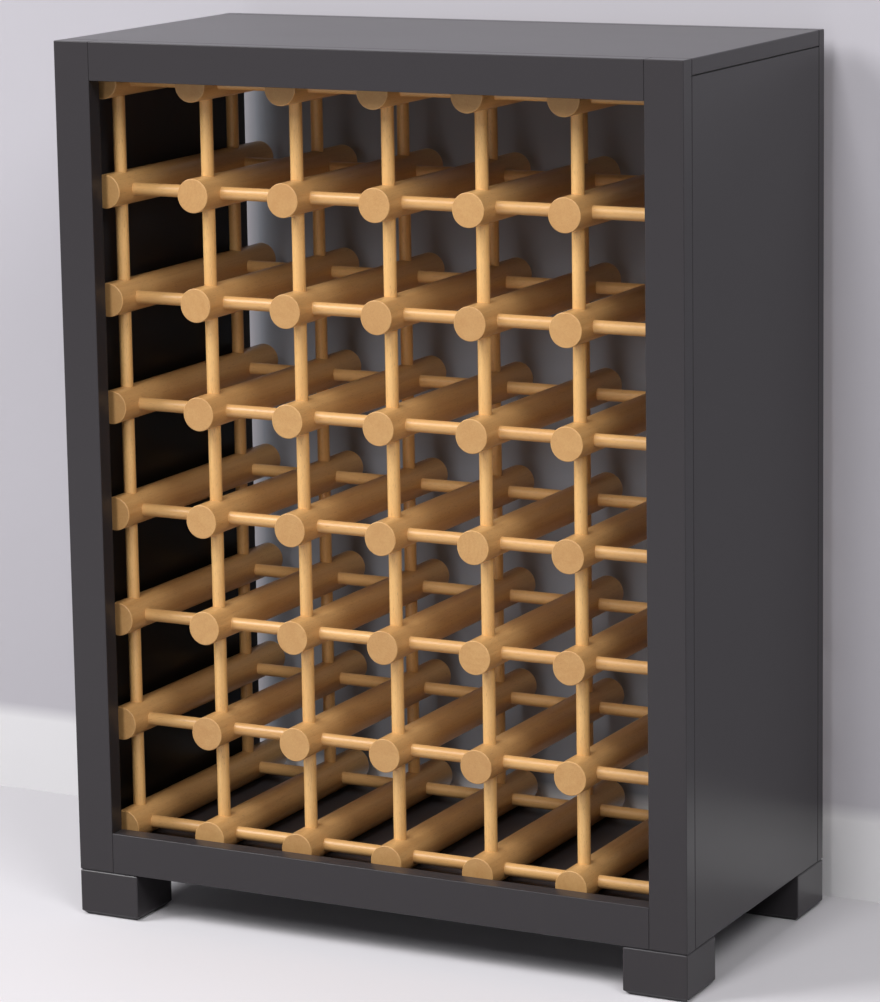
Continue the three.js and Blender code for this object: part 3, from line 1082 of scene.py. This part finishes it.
@dataclass(frozen=True)
class Matt:
    """A matt stage finish with a faint mottle."""

    mottle: tuple[float, float] = (2.0, 3.0)  # patches per metre, and octaves
    mottle_dark: float = 0.95  # how bright the darkest patch is against the colour
    roughness: float = 0.75
    sheen: float = 0.3

    def tint(self, wiring: Wiring, place: Socket, colour: Colour) -> Socket:
        """A colour with the mottle over it."""
        dark = tuple(self.mottle_dark * value for value in colour[:3]) + (1.0,)
        return wiring.blend(wiring.noise(place, *self.mottle), colour, dark)

    def skin(self, wiring: Wiring, tint: Socket, glow: dict | None = None) -> Socket:
        """The surface in a tint, with what glow it gives."""
        sockets = {"Base Color": tint, "Roughness": self.roughness, "Specular IOR Level": self.sheen}
        return wiring.skin(sockets | (glow or {}))


def lay_sheet(name: str, corners: list[Place], material: bpy.types.Material) -> None:
    """Lays a flat stage sheet.

    Args:
        name: its name.
        corners: its four corners, counted round so that it faces the camera.
        material: its finish.
    """
    mesh = bpy.data.meshes.new(name)
    mesh.from_pydata(corners, [], [(0, 1, 2, 3)])
    mesh.materials.append(material)
    sheet = bpy.data.objects.new(name, mesh)
    bpy.context.scene.collection.objects.link(sheet)


@dataclass
class Floor:
    """The plain pale floor."""

    reach: float = 8.0  # half its width
    colour: Colour = (0.81, 0.787, 0.822, 1.0)
    bounce: Colour = (0.39, 0.38, 0.395, 1.0)  # the colour with which it lights the cabinet

    def build(self) -> None:
        """Lays the floor."""
        material, wiring = new_material("pale_floor")
        tint = Matt().tint(wiring, wiring.node("ShaderNodeTexCoord").outputs["Object"], self.colour)
        path = wiring.node("ShaderNodeLightPath").outputs
        skin = Matt().skin(wiring, wiring.blend(path["Is Diffuse Ray"], tint, self.bounce))
        wiring.node("ShaderNodeOutputMaterial", {"Surface": skin})
        wide = self.reach
        lay_sheet("floor", [(-wide, -wide, 0), (wide, -wide, 0), (wide, wide, 0), (-wide, wide, 0)], material)


@dataclass
class Backdrop:
    """The plain backdrop, which is clear from behind and lets light from behind through."""

    gap: float = 24 * MM  # the room between the cabinet and the backdrop
    reach: float = 4.0  # half its width, and its height
    low_colour: Colour = (0.595, 0.574, 0.62, 1.0)
    high_colour: Colour = (0.5, 0.483, 0.523, 1.0)
    fade: tuple[float, float] = (0.35, 1.0)  # the heights between which its colour changes
    bounce: Colour = (0.2, 0.195, 0.205, 1.0)  # the colour with which it lights the cabinet
    shade_colour: Colour = (0.29, 0.305, 0.345, 1.0)  # right behind the open back
    shade_left: float = 7.5 * MM  # how far the shade's left edge lies inside the box's outline
    shade_inset: float = 27 * MM  # how far its other edges do
    shade_edge: float = 7 * MM  # half the width over which it fades
    foot_colour: Colour = (0.9, 0.885, 0.905, 1.0)
    foot_fade: tuple[float, float] = (78 * MM, 94 * MM)
    gleam: float = 0.32  # painted glow: how much light the low backdrop gives, seen only in reflections
    gleam_fade: tuple[float, float] = (45 * MM, 90 * MM)

    def material(self) -> bpy.types.Material:
        """Builds the backdrop's finish.

        Returns:
            The material.
        """
        material, wiring = new_material("pale_backdrop")
        place = wiring.node("ShaderNodeTexCoord").outputs["Object"]
        parts = wiring.node("ShaderNodeSeparateXYZ", {0: place}).outputs
        level = parts["Z"]
        path = wiring.node("ShaderNodeLightPath").outputs
        tint = Matt().tint(wiring, place, self.low_colour)
        tint = wiring.blend(wiring.span(level, self.fade), tint, self.high_colour)
        tint = wiring.blend(wiring.span(level, self.foot_fade, 1.0, 0.0), tint, self.foot_colour)
        tint = wiring.blend(self.shade(wiring, parts["X"], level), tint, self.shade_colour)
        tint = wiring.blend(path["Is Diffuse Ray"], tint, self.bounce)
        # Painted glow: the low backdrop gives light only to reflections, a painted reflection low on the
        # cabinet's sides
        gleam = wiring.span(level, self.gleam_fade, self.gleam, 0.0)
        gleam = wiring.math("MULTIPLY", gleam, path["Is Glossy Ray"])
        glow = {"Emission Color": self.foot_colour, "Emission Strength": gleam}
        skin = Matt().skin(wiring, tint, glow)
        behind = wiring.node("ShaderNodeNewGeometry").outputs["Backfacing"]
        clear = wiring.math("MAXIMUM", behind, path["Is Shadow Ray"])
        glass = wiring.node("ShaderNodeBsdfTransparent").outputs[0]
        surface = wiring.blend_shaders(clear, skin, glass)
        wiring.node("ShaderNodeOutputMaterial", {"Surface": surface})
        return material

    def shade(self, wiring: Wiring, across: Socket, level: Socket) -> Socket:
        """A soft rectangle right behind the open back, where the box keeps the light off.

        Args:
            wiring: the backdrop's nodes.
            across: the place from left to right.
            level: the height.

        Returns:
            How shaded each place is, from 0 to 1.
        """
        strip = Box.of("back_edging_left")
        left, bottom, top = float(strip.low[0]), float(strip.low[2]), float(strip.high[2])
        inset, soft = self.shade_inset, self.shade_edge
        edges = [(across, left + self.shade_left, 0.0), (across, -left - inset, 1.0)]
        edges += [(level, top - inset, 1.0), (level, bottom + inset, 0.0)]
        shares = [wiring.span(v, (edge - soft, edge + soft), low, 1.0 - low) for v, edge, low in edges]
        share = shares[0]
        for other in shares[1:]:
            share = wiring.math("MULTIPLY", share, other)
        return share

    def build(self) -> None:
        """Stands the backdrop behind the cabinet."""
        wide, y = self.reach, Box.of("back_edging_top").high[1] + self.gap
        corners = [(-wide, y, 0), (wide, y, 0), (wide, y, wide), (-wide, y, wide)]
        lay_sheet("backdrop", corners, self.material())


@dataclass
class Studio:
    """The view, the floor, the backdrop and the lights."""

    lamps: tuple[Lamp, ...] = (
        Lamp("key", (0.08, -3.19, 3.30), 0.8, 2.2, 76.0),
        Lamp("left_soft", (-2.35, -1.97, 2.99), 1.6, 1.6, 106.0),
        Lamp("right_soft", (2.35, -1.97, 2.99), 1.6, 1.6, 55.0),
        Lamp("front_low", (0.4, -4.9, 1.2), 1.2, 1.2, 11.0),
        Lamp("back_fill", (0.6, 3.2, 1.6), 2.4, 2.4, 4.0),
    )
    air_colour: Colour = (0.96, 0.97, 1.0, 1.0)  # the even light all round
    air_strength: float = 0.06
    pale_colour: Colour = (0.80, 0.79, 0.81, 1.0)  # the background that the camera and reflections see
    pale_strength: float = 0.9

    def set_world(self) -> None:
        """Lights everything evenly, and shows a pale background to the camera and in reflections."""
        world = bpy.data.worlds.new("studio")
        bpy.context.scene.world = world
        world.use_nodes = True
        wiring = Wiring(world.node_tree)
        path = wiring.node("ShaderNodeLightPath").outputs
        seen = wiring.math("MAXIMUM", path["Is Camera Ray"], path["Is Glossy Ray"])
        seen = wiring.math("MAXIMUM", seen, path["Is Transmission Ray"])
        kind = "ShaderNodeBackground"
        air = wiring.node(kind, {"Color": self.air_colour, "Strength": self.air_strength})
        pale = wiring.node(kind, {"Color": self.pale_colour, "Strength": self.pale_strength})
        both = wiring.blend_shaders(seen, air.outputs[0], pale.outputs[0])
        wiring.node("ShaderNodeOutputWorld", {"Surface": both})

    def build(self) -> None:
        """Sets up the view, the stage and the lights."""
        bpy.context.scene.view_settings.view_transform = "Standard"
        View().build()
        self.set_world()
        Floor().build()
        Backdrop().build()
        for lamp in self.lamps:
            lamp.hang()


def main() -> None:
    """Loads the frame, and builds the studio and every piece."""
    logging.basicConfig(level=logging.INFO, format="%(name)s %(message)s")
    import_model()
    Studio().build()
    workshop = Workshop()
    Carcass(workshop).build()
    Feet(workshop).build()
    lumber = Lumber(np.random.default_rng(SEED))
    Rack(workshop, lumber).build()
    JointPins(workshop, lumber).build()


if __name__ == "__main__":
    main()
